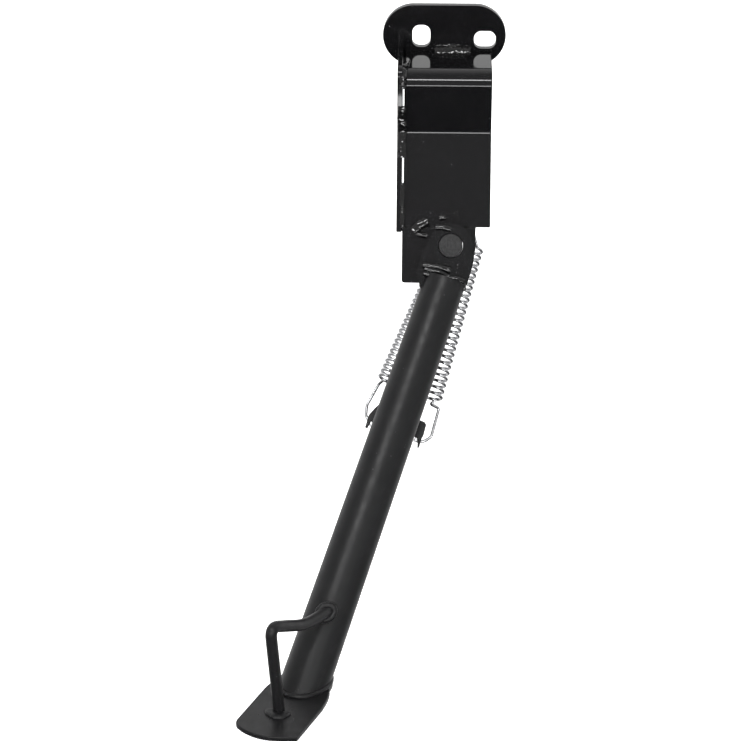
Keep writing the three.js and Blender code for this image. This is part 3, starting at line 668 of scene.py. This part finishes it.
weld("weld_lug_front_bead", "bracket", ["weld_lug_front"], SWING,
     [(-17.6, 6.6, 0.2), (-15.2, 9.4, 0.4), (-10.9, 11.2, 0.2)], 2.4, 1.7, 6.2,
     ripple=3, depth=0.08, lumps=1.2)
weld("weld_lug_front_toe", "bracket", [], SWING,
     [(-16.4, 5.4, 0.0), (-13.6, 4.9, 0.2), (-11.4, 4.6, 0.0)], 1.5, 1.2, 7.7)
weld("weld_lug_tack_bead", "bracket", ["weld_lug_tack"], SWING,
     [(-5.4, 13.2, 0), (-2.4, 13.4, 0)], 1.4, 1.0, 8.1)
weld("weld_lug_rear_bead", "bracket", ["weld_lug_rear"], facing_back(SWING, 3.0 * MM),
     [(-23.4, -8.6, 0), (11.8, -8.6, 0)], 2.1, 1.9, 9.4)
weld("weld_anchor_plate_bead", "bracket", ["weld_anchor_plate"], facing_back(SWING, 3.2 * MM),
     [(2.6, -14.5, 0.2), (2.6, -25.5, 0.2)], 1.7, 1.6, 10.6)

# on the front cheek: two ropes with a third crossing between them, and short ticks below
CHEEK_FRONT = 4.35 * MM
CHEEK_PLACE = SWING @ Matrix.Translation((0, 0, CHEEK_FRONT))
weld("weld_pin_head_bead", "leg", ["weld_pin_head"], CHEEK_PLACE,
     [(-7.0, 8.7, 0.0), (-3.4, 8.5, 0.3), (0, 7.8, 0.1)], 1.6, 1.2, 11.3)
weld("weld_cheek_front_bead", "leg", ["weld_cheek_front"], CHEEK_PLACE,
     [(-12.9, -9.3, 0.2), (-6.5, -10.1, 0.7), (-0.2, -11.6, 0.5)], 1.7, 1.7, 12.8, depth=0.08)
weld("weld_cheek_cross_bead", "leg", [], CHEEK_PLACE,
     [(-12.0, -10.9, 0.4), (-6.4, -12.2, 0.9), (-0.7, -14.6, 0.8)], 1.5, 1.6, 13.1)
weld("weld_cheek_lower_bead", "leg", ["weld_cheek_lower"], CHEEK_PLACE,
     [(-12.5, -13.4, 0.3), (-4.3, -14.8, 0.9), (3.4, -15.7, 0.8), (6.4, -17.0, 0.3)], 1.6, 1.7, 14.5,
     depth=0.08)
for number, (u, v) in enumerate(((-0.4, -17.0), (1.9, -17.4), (4.2, -17.9), (6.2, -18.8))):
    weld(f"weld_cheek_tick_{number + 1}", "leg", [], CHEEK_PLACE,
         [(u, v + 1.2, 0.3), (u + 0.5, v - 0.6, 0.4), (u + 0.2, v - 2.2, 0.0)], 1.0, 1.0, 15.2 + number)
weld("weld_cheek_rear_bead", "leg", ["weld_cheek_rear"], facing_back(LEG, 9.2 * MM, x=TUBE_OFFSET),
     [(-6, 17.4, 0.2), (6, 17.4, 0.2)], 2.2, 1.6, 16.3)
HOOK_PLATE_Y = -88
for label, along, seed in (("top", 7.6, 17.9), ("low", -6.2, 18.2)):
    weld(f"weld_hook_plate_{label}_bead", "leg", [f"weld_hook_plate_{label}"],
         facing_back(TUBE, 10.4 * MM, y=(HOOK_PLATE_Y + along) * MM),
         [(-4.4, 0, 0), (4.4, 0, 0)], 1.7, 1.3, seed)
weld("weld_rod_foot_bead", "leg", ["weld_rod_foot"], FOOT,
     [(-4.6, -28.2, 0), (-3.2, -30.6, 0.1), (-0.4, -31.8, 0.2), (2.4, -30.4, 0.1), (3.2, -27.4, 0)],
     2.7, 1.4, 19.6, depth=0.0, lumps=0.7, material=WELD_SATIN)


def ring_points(centre, axis_x, axis_y, count, start=0.0):
    """Points round an ellipse given by its two half axes."""
    angles = [start + math.tau * i / count for i in range(count + 1)]
    return [centre + axis_x * math.cos(angle) + axis_y * math.sin(angle) for angle in angles]


# round the tube's base, which meets the plate in an ellipse
lean = FOOT.inverted() @ TUBE
along_foot = (lean.to_3x3() @ Vector((0, -1, 0))).normalized()
flat = Vector((along_foot.x, along_foot.y, 0)).normalized()
TUBE_FOOT_RADIUS = 11.3
stretch = 1 / abs(along_foot.z)
base_ring = ring_points(Vector((0, 0, 0.5)), Vector((-flat.y, flat.x, 0)) * TUBE_FOOT_RADIUS,
                        flat * TUBE_FOOT_RADIUS * stretch, 72, math.radians(-90))
weld("weld_foot_bead", "leg", ["weld_foot"], FOOT, base_ring, 1.15, 1.2, 20.4,
     depth=0.0, lump=5, lumps=0.4, material=WELD_SATIN)

# round the rod where it meets the tube
rod_in = (ROD_POINTS[0] - ROD_POINTS[1]).normalized()
tube_out = lean.to_3x3() @ Vector((0, 0, 1))
rod_meets = ROD_POINTS[0] / MM - rod_in * 2.2
side_a = tube_out.cross(rod_in).normalized()
rod_ring_place = FOOT @ surface(rod_meets * MM, side_a, tube_out)
rod_ring = ring_points(Vector((0, 0, 0)), Vector((3.2, 0, 0)), Vector((0, 4.0, 0)), 40)
weld("weld_rod_tube_bead", "leg", ["weld_rod_tube"], rod_ring_place, rod_ring, 1.5, 1.3, 21.7,
     depth=0.0, lumps=0.6, material=WELD_SATIN)


# ---- spatter -------------------------------------------------------------------------------------
def patch(name, place, left, right, bottom, top):
    """A flat patch in millimetres, to scatter drops over."""
    mesh = bpy.data.meshes.new(name)
    corners = [(left, bottom), (right, bottom), (right, top), (left, top)]
    mesh.from_pydata([Vector((x, y, 0)) * MM for x, y in corners], [], [(0, 1, 2, 3)])
    mesh.transform(place)
    return mesh


for name, body, place, area, density, seed in (
    ("spatter_gusset", "bracket", SWING, (-25.5, -22.5, 9.5, 31), 160000, 6),
    ("spatter_lug", "bracket", SWING, (-22, -12.5, -15, 7), 90000, 4),
    ("spatter_face", "bracket", SWING, (-20, 12, 9.5, 17), 42000, 9),
    ("spatter_cheek", "leg", CHEEK_PLACE, (-9, 8, -14, -6.5), 70000, 12),
    ("spatter_foot", "leg", FOOT, (-9, 9, -38, -22), 16000, 3),
):
    drops = run_tree(name, patch(name + "_patch", place, *area), SPATTER, {
        "Density": float(density), "Smallest": 0.18 * MM, "Largest": 0.6 * MM, "Seed": seed,
        "Material": WELD_ENAMEL,
    })
    settle(drops, body, "weld_enamel")


# ---- floor, light and camera ----------------------------------------------------------------------
STUDIO_RADIUS = 4.0


def glowing_white(name, glow):
    """Matt white paper, lit from behind as well, so that it stays pale in every view."""
    material, tree, shader, _ = new_material(name)
    shader.inputs["Base Color"].default_value = linear("#f2f2f2")
    shader.inputs["Roughness"].default_value = 0.9
    shader.inputs["Emission Color"].default_value = linear("#ffffff")
    shader.inputs["Emission Strength"].default_value = glow
    return material


def stage_mesh(name, mesh, glow):
    """A studio surface that the camera sees and the enamel's gloss doesn't."""
    mesh.materials.append(glowing_white(name + "_paper", glow))
    stage = bpy.data.objects.new(name, mesh)
    bpy.context.scene.collection.objects.link(stage)
    stage.visible_glossy = False


def pale_floor():
    """A plain, pale floor at the height of the foot plate's sole."""
    low = CAD_BOX[0].z
    mesh = bpy.data.meshes.new("studio_floor")
    half = STUDIO_RADIUS
    mesh.from_pydata([(-half, -half, low), (half, -half, low), (half, half, low), (-half, half, low)],
                     [], [(0, 1, 2, 3)])
    stage_mesh("studio_floor", mesh, 0.62)


def pale_cove():
    """A round pale wall far behind everything."""
    shell = bmesh.new()
    bmesh.ops.create_cone(shell, segments=96, radius1=STUDIO_RADIUS, radius2=STUDIO_RADIUS,
                          depth=2 * STUDIO_RADIUS)
    bmesh.ops.reverse_faces(shell, faces=shell.faces)
    mesh = bpy.data.meshes.new("studio_cove")
    shell.to_mesh(mesh)
    shell.free()
    stage_mesh("studio_cove", mesh, 0.97)


CENTRE = Vector((-33.7, -66.5, -148.0)) * MM


def direction(azimuth, elevation):
    """The unit vector from the stand towards a viewer at this azimuth and elevation."""
    a, e = math.radians(azimuth), math.radians(elevation)
    return Vector((math.sin(a) * math.cos(e), -math.cos(a) * math.cos(e), math.sin(e)))


def softbox(name, target, azimuth, elevation, distance, width, height, radiance):
    """A rectangular area light aimed at a point of the stand; radiance is how bright its face is."""
    light = bpy.data.lights.new(name, "AREA")
    light.shape = "RECTANGLE"
    light.size = width
    light.size_y = height
    light.energy = radiance * math.pi * width * height
    lamp = bpy.data.objects.new(name, light)
    lamp.location = target + direction(azimuth, elevation) * distance
    lamp.rotation_euler = (-direction(azimuth, elevation)).to_track_quat("-Z", "Y").to_euler()
    lamp.visible_camera = False
    bpy.context.scene.collection.objects.link(lamp)


def camera():
    """A long lens a little above the stand."""
    data = bpy.data.cameras.new("camera")
    data.sensor_width = 36
    data.lens = 121.46
    data.clip_start = 0.05
    data.clip_end = 50
    eye = bpy.data.objects.new("camera", data)
    away = direction(1.5, 24)
    eye.location = CENTRE + away * 1.2
    eye.rotation_euler = (-away).to_track_quat("-Z", "Y").to_euler()
    bpy.context.scene.collection.objects.link(eye)
    bpy.context.scene.camera = eye


def surroundings():
    """A room that is bright behind the stand, grey in front and overhead, and dark below the table's edge."""
    world = bpy.data.worlds.new("studio")
    bpy.context.scene.world = world
    world.use_nodes = True
    tree = world.node_tree
    heading = add_node(tree, "ShaderNodeTexCoord").outputs["Generated"]
    height = add_node(tree, "ShaderNodeSeparateXYZ", links={"Vector": heading})
    front = add_node(
        tree, "ShaderNodeMapRange",
        {"From Min": -0.28, "From Max": -0.08, "To Min": 0.02, "To Max": 0.35},
        {"Value": height.outputs["Z"]},
    )
    towards_back = add_node(
        tree, "ShaderNodeVectorMath", {"operation": "DOT_PRODUCT", 1: (0.0, 1.0, 0.2)}, {0: heading},
    )
    back = add_node(
        tree, "ShaderNodeMapRange",
        {"interpolation_type": "SMOOTHSTEP", "From Min": -0.1, "From Max": 0.65},
        {"Value": towards_back.outputs["Value"]},
    )
    glow = add_node(
        tree, "ShaderNodeMix", {"data_type": "FLOAT", 3: 0.9},
        {0: back.outputs["Result"], 2: front.outputs["Result"]},
    )
    background = tree.nodes["Background"]
    background.inputs["Color"].default_value = linear("#ffffff")
    tree.links.new(glow.outputs[0], background.inputs["Strength"])


BRACKET_SPOT = Vector((0, -38, -25)) * MM

pale_floor()
pale_cove()
surroundings()
softbox("key_softbox", CENTRE, -11, 42.5, 1.4, 0.68, 0.15, 15)
softbox("low_strip", BRACKET_SPOT, 0, -6.5, 0.7, 0.6, 0.06, 9)
bpy.context.scene.view_settings.view_transform = "Standard"
camera()
